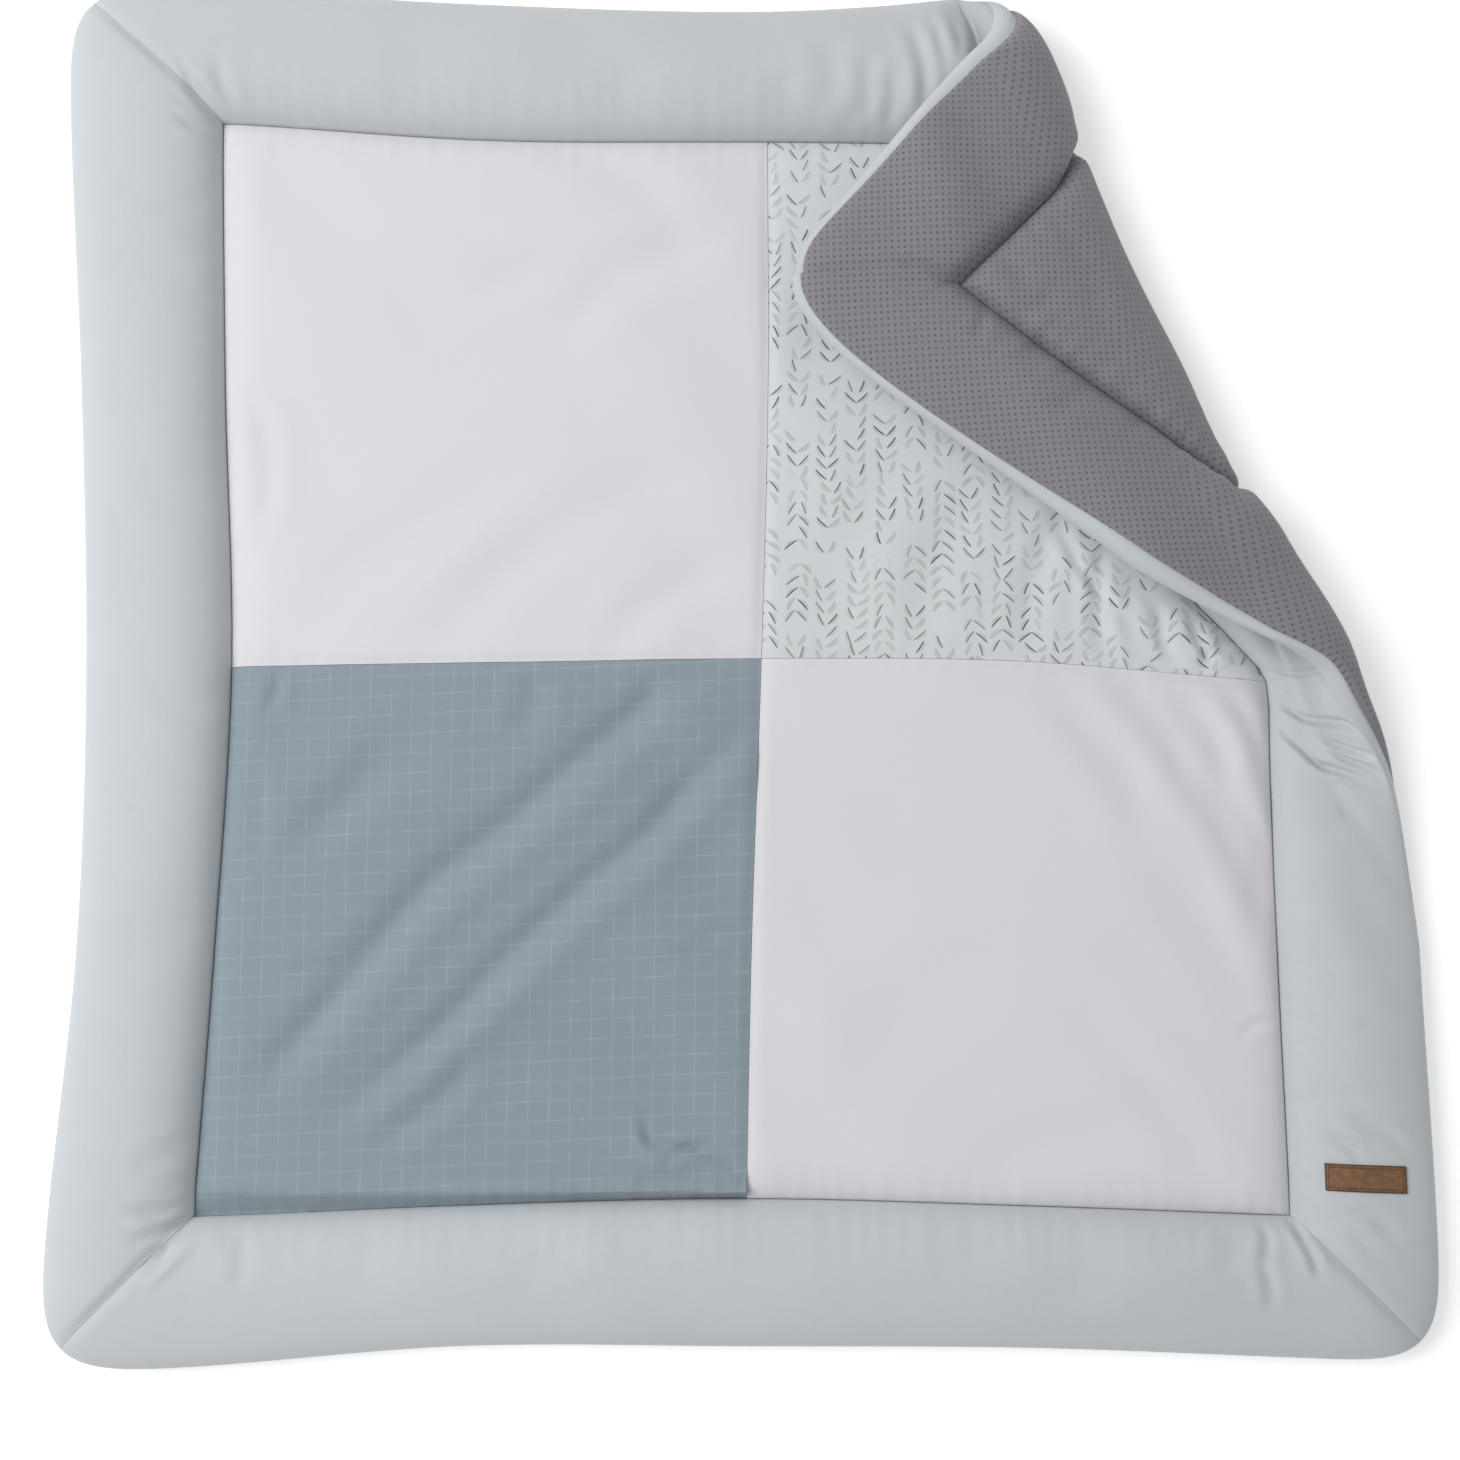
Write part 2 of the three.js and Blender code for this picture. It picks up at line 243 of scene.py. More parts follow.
# Gathers beside a seam, as reach and depth, and the height of the wadding's lumps
PATCH_GATHERS, PANEL_GATHERS = (10, 0.25), (13, 0.55)
BORDER_GATHERS, BACK_GATHERS = (20, 0.9), (16, 2.2)
PANEL_LUMPS, BORDER_LUMPS, BACK_LUMPS = 0.9, 1.1, 2.5

# Along the right and the top edge: place, how far the face rolls out past the edge, how far in
# the outer seam lies, level of that seam over the backing's plane
RIGHT_EDGE = np.array([
    (-500, 0, 6, 8.5), (-90, 0, 6, 8.5), (-60, 0, 5, 9), (-30, 0, 4, 10), (0, 0, 3, 9),
    (30, 1, 1, 5), (60, 4, 0, -2), (90, 9, 0, -8), (120, 13, 0, -8), (165, 17, 0, -8),
    (210, 15, -1, -8), (300, 13, -5, -8), (400, 17, -10, -8), (450, 14, -7, -8), (500, 8, -1, -8),
], float)
TOP_EDGE = np.array([
    (-500, 0, 6, 8.5), (80, 0, 6, 8.5), (150, 3, 6, 8), (200, 6, 6, 2), (250, 8, 5, -6),
    (300, 7, 3, -8), (350, 6, 2, -8), (400, 5, 2, -8), (460, 4, 2, -8), (500, 6, 1, -8),
], float)
print("crests at", BORDER_CREST, "and", PANEL_CROWN, "mm, seams at", SEAM_HEIGHT, "mm")


# %% Curves that the padding is made of
def quarter_round(share, power=2.0):
    """A superellipse's quarter: 0 at the seam with an upright start, 1 once the pad is full."""
    return (1 - (1 - np.clip(share, 0, 1)) ** power) ** (1 / power)


def blend(a, b, share):
    return a + (b - a) * share


def freedom(s, t):
    """How far the cloth is off the floor, and how much the inside of the roll squeezes it."""
    along, start, radius, past, turn = fold_at(*lay_out(s, t))
    squeezed = smooth(turn, *SQUEEZE_IN) - smooth(turn, *SQUEEZE_OUT)
    return smooth(turn, BULGE_START, BULGE_END), squeezed * TIGHT_RADIUS / radius


def puckers(along, away, reach, depth):
    """Small gathers beside a seam: uneven waves along it that die away within its reach."""
    wave = 0.6 * np.sin(along / 2.7 + 1.9 * np.sin(along / 17 + 0.4))
    wave += 0.4 * np.sin(along / 4.9 + 2.3 * np.sin(along / 29) + 1)
    return depth * wave * np.exp(-away / reach) * (1 - np.exp(-away / 1.5))


def unevenness(s, t):
    """Wadding is never quite even: a few long waves across each other."""
    waves = np.sin(s / 47 + 1.3 * np.sin(t / 71)) * np.sin(t / 59 + 0.7)
    return waves + 0.6 * np.sin(s / 23 + t / 31 + 2 * np.sin(s / 67))


def panel_thickness(s, t):
    """Seam height plus a crown that rolls off towards each side of the panel."""
    roll = quarter_round((HALF_PANEL - np.abs(s)) / LIP_WIDTH, LIP_POWER)
    roll = roll * quarter_round((HALF_PANEL - np.abs(t)) / LIP_WIDTH, LIP_POWER)
    return SEAM_HEIGHT + (PANEL_CROWN - SEAM_HEIGHT) * roll


def squeeze(thickness, squeezed):
    return thickness - SQUEEZE * squeezed * np.maximum(thickness - SEAM_HEIGHT, 0)


print("a tenth of the way up a pad", quarter_round(0.1))


# %% The outer edge, and the backing's skin
def edge_shape(s, t):
    """Roll-out and seam inset at the nearest stretch of the outer edge, as shares of the border,
    and the level of the seam."""
    right = (s > 0) & (s >= np.abs(t))
    top = (t > 0) & (t > np.abs(s))
    place = HALF_SIDE * np.where(right, t, s) / np.maximum(np.maximum(np.abs(s), np.abs(t)), 1)
    out = [np.where(right, through(RIGHT_EDGE[:, 0], RIGHT_EDGE[:, k], place),
                    np.where(top, through(TOP_EDGE[:, 0], TOP_EDGE[:, k], place), rest))
           for k, rest in ((1, 0), (2, 6), (3, SEAM_LEVEL))]
    return out[0] / BORDER_WIDTH, out[1] / BORDER_WIDTH, out[2]


def ring(s, t):
    """Share of the way across the border: 0 at its inner seam, 1 at the outer edge."""
    return (np.maximum(np.abs(s), np.abs(t)) - HALF_PANEL) / BORDER_WIDTH


def back_level(s, t):
    """Level of the backing's outer skin. Flat, it turns up at the outer seam; free, it bulges."""
    free, squeezed = freedom(s, t)
    across = ring(s, t)
    _, inset, seam = edge_shape(s, t)
    edge = 1 - inset
    lift = seam - BACKING_THICKNESS
    lying = lift * (1 - quarter_round((edge - across) * BORDER_WIDTH / LIFT_WIDTH))
    crest = BULGE_SHARE * (squeeze(border_crest(s, t), squeezed) - SEAM_HEIGHT)
    rim = BACKING_THICKNESS - seam
    inner = crest * quarter_round(2 * across)
    outer = rim + (crest - rim) * quarter_round(np.clip(2 * (edge - across), 0, 1))
    border = -np.where(across < 0.5, inner, outer)
    panel = -BULGE_SHARE * (squeeze(panel_thickness(s, t), squeezed) - SEAM_HEIGHT)
    along = np.where(np.abs(s) > np.abs(t), t, s)
    detail = puckers(along, np.abs(across) * BORDER_WIDTH, *BACK_GATHERS)
    detail = detail - wrinkles("backing", s, t) + BACK_LUMPS * unevenness(s * 1.3 + 50, t * 1.3)
    level = blend(np.where(across > 0, lying, 0), np.where(across > 0, border, panel), free)
    return level + detail * free


# %% [markdown]
# ## Creases placed one by one
#
# The photo shows where this mat wrinkles: long troughs across the blue patch, sharp gathers
# where the border bends into the fold, short ones at the mitres. A cloth simulation would put
# them elsewhere, so each is a row of a table. The first table holds the straight ones: a soft
# trough from one point of the pattern to another, with a shoulder on both sides where the cloth
# that it took in is pushed up. The second one holds those that curve.

# %% Straight creases: from s, from t, to s, to t, depth, width
CREASES = {
    "quarter_bl": [
        (-356, -5, -363, -34, 1.6, 5), (-166, -9, -178, -54, 1.6, 10),
        (-81, -8, -93, -43, 1.4, 9), (-67, -218, -3, -228, 1.5, 6),
        (-41, -204, -2, -202, 1.2, 5), (-288, -211, -332, -216, 1.4, 9),
        (-274, -63, -345, -129, 1.6, 13), (-195, -282, -265, -343, 2.2, 10),
        (-225, -285, -10, -330, 3.2, 26),
        (-80, -380, -36, -381, 1.8, 6), (-330, -130, -240, -60, 1.8, 20),
        (-60, -365, -25, -352, 1.6, 4), (-120, -40, -20, -150, 1.4, 22),
        (-375, -60, -368, -140, 1.2, 9),
    ],
    "quarter_br": [
        (262, -6, 330, -70, 2.6, 14), (322, -62, 386, -185, 3.2, 13),
        (310, -8, 366, -90, 2.6, 11), (360, -82, 391, -150, 2.4, 9),
        (215, -12, 300, -120, 1.8, 16), (290, -130, 385, -290, 1.8, 18),
        (355, -10, 388, -70, 1.8, 8), (60, -330, 200, -200, 1.2, 26),
        (150, -384, 300, -330, 1.2, 18), (10, -60, 120, -150, 1.0, 25),
        (240, -255, 340, -385, 1.3, 16), (358, -262, 391, -248, 1.3, 4),
    ],
    "quarter_tl": [
        (-210, 284, -90, 282, 1.8, 14), (-155, 244, -30, 316, 1.5, 16),
        (-345, 15, -180, 134, 1.3, 20), (-250, 6, -45, 145, 1.5, 18),
        (-120, 6, -20, 70, 1.5, 14), (-350, 330, -230, 250, 1.0, 22),
        (-160, 385, -60, 330, 1.3, 15), (-372, 200, -368, 90, 1.2, 9),
    ],
    "quarter_tr": [
        (262, 6, 318, 110, 2.6, 8), (318, 8, 352, 70, 2.4, 7), (352, 12, 376, 60, 2.2, 5),
        (200, 4, 250, 120, 1.8, 12), (120, 6, 160, 130, 1.4, 16), (230, 130, 300, 40, 1.5, 9),
        (20, 200, 110, 320, 1.3, 18), (340, 6, 389, 34, 2.4, 4),
        (60, 20, 90, 150, 1.0, 18),
    ],
    "border_right": [
        (405, -150, 470, -170, 1.0, 14),
        (414, -329, 443, -349, 2.4, 5), (428, -316, 478, -339, 2.0, 5.5),
        (404, -300, 450, -312, 1.3, 8), (405, -393, 449, -413, 2.2, 6), (440, -250, 480, -262, 1.0, 9),
        (396, -200, 440, -215, 0.9, 12), (420, -385, 470, -404, 1.4, 6),
        (394, -397, 406, -434, 4.0, 4),
    ],
    "border_bottom": [
        (388, -394, 398, -410, 4.2, 3.5), (397, -408, 405, -434, 3.6, 3.8),
        (370, -396, 366, -428, 3.0, 4), (366, -426, 370, -462, 2.2, 4.5),
        (345, -398, 338, -436, 1.4, 8), (-391, -396, -425, -404, 3.0, 4),
        (-390, -398, -432, -430, 3.0, 4.5), (-404, -412, -424, -434, 2.2, 4),
        (-360, -396, -352, -440, 1.6, 7), (-150, -396, -140, -450, 0.9, 18),
        (150, -395, 160, -440, 0.8, 20), (240, -400, 225, -470, 1.2, 22),
        (20, -397, 0, -450, 0.9, 20), (-260, -397, -280, -460, 0.9, 20),
    ],
    "border_left": [
        (-394, -384, -436, -382, 2.6, 4), (-392, -392, -430, -404, 2.6, 4.5),
        (-392, 386, -421, 386, 2.8, 4), (-392, 392, -420, 434, 2.2, 4),
        (-394, -340, -435, -350, 1.4, 8), (-396, 120, -460, 130, 0.8, 16),
        (-394, -30, -450, -20, 1.0, 10), (-396, -180, -470, -200, 0.8, 18),
        (-480, 280, -410, 275, 0.9, 12), (-396, 330, -440, 322, 1.2, 7),
    ],
    "border_top": [
        (-386, 392, -420, 434, 2.6, 4), (-376, 394, -392, 436, 1.8, 5),
        (100, 480, 112, 404, 2.6, 6), (116, 484, 124, 410, 3.0, 5.5),
        (130, 484, 134, 426, 2.8, 5), (145, 486, 146, 440, 2.6, 5),
        (68, 455, 68, 402, 2.2, 8), (87, 445, 84, 398, 2.4, 7), (40, 470, 44, 410, 1.2, 10),
        (-100, 396, -96, 450, 0.9, 14), (-250, 398, -240, 460, 0.8, 18), (20, 397, 10, 440, 1.0, 12),
    ],
}
print("straight creases", sum(len(rows) for rows in CREASES.values()))


# %% Troughs with two shoulders
def creases(name, s, t):
    """Each row: minus depth times a bell across the line, plus half of it as two shoulders,
    all eased in and out along the line."""
    total = np.zeros_like(s)
    for s0, t0, s1, t1, depth, width in CREASES[name]:
        length = math.hypot(s1 - s0, t1 - t0)
        ds, dt = (s1 - s0) / length, (t1 - t0) / length
        along = ((s - s0) * ds + (t - t0) * dt) / length
        bow = 0.08 * length * np.sin(math.pi * np.clip(along, 0, 1))
        across = np.abs((t - t0) * ds - (s - s0) * dt - bow)
        ease = smooth(along, -0.12, 0.3) * (1 - smooth(along, 0.7, 1.12))
        trough = np.exp(-((across / width) ** 2))
        shoulder = np.exp(-(((across - 1.9 * width) / width) ** 2))
        total += depth * ease * (0.5 * shoulder - trough)
    return total


# %% Curved wrinkles: depth, width, then the places on the pattern that they pass
WRINKLES = {
    "border_right": [
        (4.8, 3.4, (396, -14), (415, -24), (452, -22), (474, -22), (497, -26)),
        (5.2, 3.4, (393, -23), (402, -38), (413, -48), (427, -59), (450, -60), (480, -62)),
        (3.6, 2.8, (443, -37), (464, -40), (486, -43), (500, -42)),
        (3.8, 2.8, (450, -45), (468, -50), (486, -54), (499, -62)),
        (3.2, 2.8, (393, 7), (436, 14), (498, 31)), (1.8, 2.2, (394, 4), (402, -5)),
        (1.0, 6, (398, -104), (410, -115)), (1.2, 8, (440, -94), (471, -96)),
        (2.4, 2.6, (478, -13), (497, -15)),
    ],
    "quarter_bl": [
        (6.2, 13, (-346, -292), (-319, -262), (-277, -209), (-235, -159), (-183, -118),
         (-123, -65), (-82, -32), (-44, -9)),
        (6.2, 12, (-282, -313), (-222, -262), (-182, -220), (-125, -165), (-82, -130),
         (-45, -87), (-3, -44)),
        (3.4, 3.2, (-75, -333), (-68, -350), (-42, -355), (-18, -364), (-3, -372)),
        (1.2, 8, (-151, -330), (-77, -347), (-49, -342)),
    ],
    "backing": [
        (3.4, 4, (412, 432), (400, 415), (391, 392)),
        (1.8, 5, (486, 488), (450, 460), (420, 436), (404, 420)),
        (2.4, 4, (391, 372), (405, 361), (424, 354)), (1.8, 5, (249, 490), (246, 472)),
        (2.0, 6, (276, 494), (264, 465)), (1.8, 7, (386, 320), (418, 315)),
        (2.0, 8, (388, 264), (438, 287)), (2.0, 9, (300, 388), (318, 340), (345, 300)),
        (1.8, 8, (352, 388), (362, 350)), (1.8, 8, (388, 350), (355, 335)),
    ],
}
WRINKLE_STEPS = 60
print("curved wrinkles", sum(len(rows) for rows in WRINKLES.values()))


# %% Troughs along a curve
def wrinkles(name, s, t):
    """Along each smooth curve a trough, minus depth times a bell over the distance to it, with a
    softer ridge on its right-hand side. Both ease in and out along the curve."""
    total = np.zeros_like(s)
    for depth, width, *places in WRINKLES.get(name, []):
        steps = np.linspace(0, len(places) - 1, WRINKLE_STEPS)
        line_s, line_t = (through(range(len(places)), values, steps) for values in zip(*places))
        nearest = np.hypot(s[..., None] - line_s, t[..., None] - line_t).argmin(-1)
        ds, dt = np.gradient(line_s)[nearest], np.gradient(line_t)[nearest]
        off_s, off_t = s - line_s[nearest], t - line_t[nearest]
        length = np.hypot(ds, dt)
        across = (ds * off_t - dt * off_s) / length
        share = (nearest + (ds * off_s + dt * off_t) / length**2) / (WRINKLE_STEPS - 1)
        ease = smooth(share, -0.1, 0.18) * (1 - smooth(share, 0.72, 1.08))
        ridge = np.exp(-(((across + 1.9 * width) / (1.2 * width)) ** 2))
        total += depth * ease * (0.45 * ridge - np.exp(-((across / width) ** 2)))
    return total


# %% [markdown]
# ## Face of the patches
#
# A patch is a low pillow, quilted down at its seams. Only the blue one hangs over at its lower
# edge, so it has a hem of its own.

# %% Level of a patch's face
# The hem's places along the edge and its widths there, its lip, and the gathers on it
HEM_WIDTH = (-392, -300, -200, 0), (18, 13, 9, 5)
HEM_LIP = 2.0
HEM_GATHERS, GATHERED_FROM = (9, 1.3), (-220, -60)


def hem(s, t):
    """The blue patch's lower edge hangs over: an even slope instead of the round one, broad at
    the left and narrow at the right, that ends in a lip."""
    width = np.interp(s, *HEM_WIDTH)
    away = HALF_PANEL + t
    lip = np.exp(-(((away - 1.3 * width) / (0.5 * width)) ** 2))
    drawn_in = quarter_round((HALF_PANEL + s) / LIP_WIDTH, LIP_POWER)
    slope = np.clip(away / width, 0, 1) - quarter_round(away / LIP_WIDTH, LIP_POWER)
    gathers = puckers(s, away, *HEM_GATHERS) * smooth(s, *GATHERED_FROM)
    return ((PANEL_CROWN - SEAM_HEIGHT) * slope + HEM_LIP * lip + gathers) * drawn_in


def seam_fill(s, t):
    """Seam allowances under the seam between panel and border lift both cloths a little."""
    away = np.abs(ring(s, t)) * BORDER_WIDTH
    return SEAM_FILL * np.exp(-((away / SEAM_FILL_WIDTH) ** 2))


def panel_face(name, s, t):
    """Level of a patch's face, with its crown, seams, gathers and creases."""
    free, squeezed = freedom(s, t)
    thickness = squeeze(panel_thickness(s, t), squeezed)
    full = np.clip((thickness - SEAM_HEIGHT) / (PANEL_CROWN - SEAM_HEIGHT), 0, 1)
    for away, along in ((np.abs(s), t), (np.abs(t), s)):
        thickness = thickness - PATCH_SEAM_DIP * np.exp(-((away / PATCH_SEAM_WIDTH) ** 2)) * full
        thickness = thickness + puckers(along, away, *PATCH_GATHERS) * full
        thickness = thickness + puckers(along + 40, HALF_PANEL - away, *PANEL_GATHERS)
    detail = PANEL_LUMPS * unevenness(s, t) * full
    detail = detail + (creases(name, s, t) + wrinkles(name, s, t)) * full
    if name == "quarter_bl":
        detail = detail + hem(s, t)
    base = blend(0, -BULGE_SHARE * (thickness - SEAM_HEIGHT), free)
    return base + thickness + detail + seam_fill(s, t)


print("crown of a patch", panel_face("quarter_br", np.array([196.0]), np.array([-196.0])))

# %% [markdown]
# ## The border strip's own section
#
# Each border strip is a stuffed tube cut open along its underside. From the inner seam it
# rises over a quarter of an ellipse to the crest, comes down over a second one to the side,
# and turns back in to the outer seam, where the backing is sewn on. The grid is drawn along
# this section, so its points crowd where the cloth turns fastest.

# %% Face of the border
def border_crest(s, t):
    """Thickness at the crest, a little lower where two strips meet at the mitre."""
    off_mitre = np.abs(np.abs(s) - np.abs(t)) / math.sqrt(2)
    return BORDER_CREST - MITRE_DIP * np.exp(-((off_mitre / MITRE_WIDTH) ** 2))


def border_face(name, s, t):
    """Level of the strip's upper side, from its inner seam to where it starts to turn under."""
    free, squeezed = freedom(s, t)
    across = ring(s, t)
    roll_out, inset, seam = edge_shape(s, t)
    crest = squeeze(border_crest(s, t), squeezed)
    rise = quarter_round(2 * across, RISE_POWER)
    sine = np.clip((across - 0.5) / (0.5 + roll_out), 0, 1)
    fall = np.sqrt(1 - sine**2)
    bulged = -BULGE_SHARE * (crest - SEAM_HEIGHT) * free
    inner = SEAM_HEIGHT + (crest - SEAM_HEIGHT + bulged) * rise
    side = seam + SIDE_RISE
    outer = side + (crest + bulged - side) * fall
    share = np.where(across < 0.5, rise, fall)
    along = np.where(np.abs(s) > np.abs(t), t, s)
    detail = creases(name, s, t) + wrinkles(name, s, t)
    detail = detail + BORDER_LUMPS * unevenness(s * 0.8 + 90, t * 0.8)
    gathers = puckers(along + 11, across * BORDER_WIDTH, *BORDER_GATHERS)
    level = np.where(across < 0.5, inner, outer) + (detail + gathers) * share
    return level + seam_fill(s, t)


# %% [markdown]
# ## Closed shells from two grids
#
# A padded piece is two sheets on one grid, face and underside, joined by walls all round.
# Every piece here is made by this one helper, which also keeps the pattern's place as a UV
# map in metres of cloth, so that prints and weaves have their real scale on every fold.

# %% From grids to a mesh
def shell(name, upper, lower, pattern, slot, nodes):
    """Closed skin over two grids of the same rows and columns. The walls run round the rim.
    If the enclosed volume comes out negative, every face is turned over."""
    rows, columns = upper.shape[:2]
    count = rows * columns
    index = np.arange(count).reshape(rows, columns)
    a, b, c, d = index[:-1, :-1], index[1:, :-1], index[1:, 1:], index[:-1, 1:]
    top = np.stack([a, b, c, d], -1).reshape(-1, 4)
    bottom = top[:, ::-1] + count
    rim = np.concatenate([index[:-1, 0], index[-1, :-1], index[:0:-1, -1], index[0, :0:-1]])
    following = np.roll(rim, -1)
    walls = np.stack([following, rim, rim + count, following + count], -1)
    faces = np.concatenate([top, bottom, walls])
    points = np.concatenate([upper.reshape(-1, 3), lower.reshape(-1, 3)]) * MM
    p, q, r = (points[faces[:, k]] for k in range(3))
    if np.einsum("ij,ij->i", p, np.cross(q, r)).sum() < 0:
        faces = faces[:, ::-1]
    mesh = bpy.data.meshes.new(name)
    mesh.from_pydata(points.tolist(), [], faces.tolist())
    places = np.concatenate([pattern.reshape(-1, 2), pattern.reshape(-1, 2)]) * MM
    mesh.uv_layers.new(name="cloth").data.foreach_set("uv", places[faces.ravel()].ravel())
    mesh.polygons.foreach_set("use_smooth", np.ones(len(faces), bool))
    mesh.set_sharp_from_angle(angle=math.radians(50))
    mesh.materials.append(bpy.data.materials[slot + "_look"])
    piece = bpy.data.objects.new(name, mesh)
    bpy.context.collection.objects.link(piece)
    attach(piece, "root")
    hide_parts(*nodes)
    print(name, len(top) * 2 + len(bottom) * 2 + len(walls) * 2, "triangles")
    return piece


def lay(s, t, level):
    """Points of the pattern, in millimetres, at a level over the backing's plane. Where the
    corner is free, the quilting seam tucks all layers in by a bell over its distance."""
    away = np.abs(ring(s, t)) * BORDER_WIDTH
    tuck = TUCK_DEPTH * freedom(s, t)[0] * np.exp(-((away / TUCK_WIDTH) ** 2))
    return bend(*lay_out(s, t), level + tuck)


def crowded(low, high, count, power=1.5):
    """Numbers from low to high that crowd towards both ends."""
    u = np.linspace(-1, 1, count)
    return low + (high - low) * (1 + np.sign(u) * (1 - (1 - np.abs(u)) ** power)) / 2


# %% [markdown]
# ## Shader expressions
#
# A print is easiest to write as arithmetic. Each Math node has a clumsy set-up in code, so a
# small class wraps a socket and overloads the operators: 1 - mask then adds its own node.

# %% Sockets that can be added and multiplied
class Signal:
    """A number that varies over the surface, held by an output socket."""

    def __init__(self, look, socket):
        self.look, self.socket = look, socket

    def math(self, operation, *others, clamp=False):
        inputs = {k: v for k, v in enumerate((self,) + others)}
        settings = {"operation": operation, "use_clamp": clamp}
        return self.look.signal("ShaderNodeMath", settings, inputs)

    def __add__(self, other):
        return self.math("ADD", other)

    def __sub__(self, other):
        return self.math("SUBTRACT", other)

    def __mul__(self, other):
        return self.math("MULTIPLY", other)

    def __truediv__(self, other):
        return self.math("DIVIDE", other)

    def __pow__(self, other):
        return self.math("POWER", other)

    def __neg__(self):
        return self.math("MULTIPLY", -1)

    def __rsub__(self, other):
        return (-self).math("ADD", other)

    __radd__ = __add__
    __rmul__ = __mul__

    def sin(self):
        return self.math("SINE")

    def abs(self):
        return self.math("ABSOLUTE")

    def floor(self):
        return self.math("FLOOR")

    def fract(self):
        return self.math("FRACT")

    def ease(self, low, high):
        """0 below low, 1 above high, and a soft step between. low may be above high."""
        inputs = {"Value": self, "From Min": low, "From Max": high}
        settings = {"interpolation_type": "SMOOTHSTEP"}
        return self.look.signal("ShaderNodeMapRange", settings, inputs)


# %% A material under construction
class Look:
    """Holds a new material, with one method that makes any node in it."""

    def __init__(self, name):
        self.material = bpy.data.materials.new(name)
        self.material.use_nodes = True
        self.tree = self.material.node_tree
        self.tree.nodes.clear()

    def node(self, kind, settings=None, inputs=None):
        node = self.tree.nodes.new(kind)
        for key, value in (settings or {}).items():
            setattr(node, key, value)
        for key, value in (inputs or {}).items():
            socket = value.socket if isinstance(value, Signal) else value
            if isinstance(socket, bpy.types.NodeSocket):
                self.tree.links.new(socket, node.inputs[key])
            else:
                node.inputs[key].default_value = value
        return node

    def signal(self, kind, settings=None, inputs=None, output=0):
        return Signal(self, self.node(kind, settings, inputs).outputs[output])

    def cloth_place(self):
        """The place on the cloth, in millimetres along and across it."""
        uv = self.node("ShaderNodeUVMap", {"uv_map": "cloth"})
        parts = self.node("ShaderNodeSeparateXYZ", inputs={0: uv.outputs[0]})
        return Signal(self, parts.outputs[0]) / MM, Signal(self, parts.outputs[1]) / MM

    def vector(self, x, y, z=0.0):
        return self.signal("ShaderNodeCombineXYZ", inputs={0: x, 1: y, 2: z})

    def noise(self, place, size, detail=2.0, roughness=0.5):
        """Smooth noise from 0 to 1 whose lumps are about size millimetres wide."""
        inputs = {"Vector": place, "Scale": 1 / size, "Detail": detail, "Roughness": roughness}
        return self.signal("ShaderNodeTexNoise", inputs=inputs)

    def chance(self, x, y):
        """A random number from 0 to 1 for each whole x and y."""
        return self.signal("ShaderNodeTexWhiteNoise", {"noise_dimensions": "2D"},
                           {"Vector": self.vector(x, y)})

    def mix(self, share, first, second):
        """Colour first where share is 0, second where it is 1."""
        return self.signal("ShaderNodeMix", {"data_type": "RGBA"},
                           {0: share, 6: first, 7: second}, output=2)

    def finish(self, colour, relief, depth, roughness, sheen=0.25):
        """A Principled surface with the colour, and the relief in millimetres as its bump."""
        bump = self.node("ShaderNodeBump", inputs={
            "Height": relief, "Distance": depth * MM, "Strength": 1.0})
        shader = self.node("ShaderNodeBsdfPrincipled", inputs={
            "Base Color": colour, "Roughness": roughness, "Normal": bump.outputs[0],
            "Sheen Weight": sheen, "Sheen Roughness": 0.6, "Sheen Tint": (1, 1, 1, 1),
            "Specular IOR Level": 0.25})
        output = self.node("ShaderNodeOutputMaterial")
        self.tree.links.new(shader.outputs[0], output.inputs[0])


def shade(red, green, blue):
    """A colour given as it looks on a screen, 0 to 255, as the linear one that nodes want."""
    parts = [c / 255 for c in (red, green, blue)]
    linear = [c / 12.92 if c <= 0.04045 else ((c + 0.055) / 1.055) ** 2.4 for c in parts]
    return (*linear, 1.0)


# %% [markdown]
# ## The weave
#
# All the cloths are plain-woven cotton. A plain weave is two sets of threads that go over and
# under each other in turn. Where the warp is on top its thread shades the surface one way,
# and the weft the other way. Some threads are thicker than others, which gives the slubs.

# %% One weave for every cotton
def weave(look, u, v, pitch):
    """Height of a plain weave: rounded threads, each on top in every other crossing. Also a
    streaky number for each thread."""
    warp = (u / pitch * math.pi).sin()
    weft = (v / pitch * math.pi).sin()
    over = (warp * weft).ease(-0.4, 0.4)
    height = warp.abs() * over + weft.abs() * (1 - over)
    along = look.noise(look.vector(u * 3, v * 0.12), 1.6, 1.0)
    across = look.noise(look.vector(u * 0.12, v * 3), 1.6, 1.0)
    return height, (along + across) / 2


THREAD = 0.62
SLUB_SHARE = 0.55


def cotton(name, ground, contrast):
    """A look with the cloth's place and a ground colour that slubs and age vary, painted lighter on
    the weave's raised threads and darker in the gaps between them as shade.
    """
    look = Look(name)
    u, v = look.cloth_place()
    height, streaks = weave(look, u, v, THREAD)
    place = look.vector(u, v)
    speckle = look.noise(place, 0.9, 2.0, 0.6)
    clouds = look.noise(place, 70.0, 3.0)
    # The weave's height goes into the colour as painted shade: raised threads lighter, the gaps
    # between threads darker.
    weave_shade_and_tone = (height - 0.5) * 0.35 + (streaks - 0.5) * 1.6 + (speckle - 0.5) * 0.9
    weave_shade_and_tone = weave_shade_and_tone + (clouds - 0.5) * 0.5
    dark = tuple(c * (1 - 2.2 * contrast) for c in ground[:3]) + (1.0,)
    light = tuple(min(c * (1 + 2.2 * contrast), 1) for c in ground[:3]) + (1.0,)
    base = look.mix(weave_shade_and_tone.ease(-1.1, 1.1), dark, light)
    relief = height + streaks * SLUB_SHARE + speckle * 0.4
    return look, u, v, base, relief, weave_shade_and_tone


# %% [markdown]
# ## Plain cottons
#
# The border is a pale grey-green cotton, and two of the patches are a cooler white one. From a
# step away they look plain, so their weave and slubs stay faint.

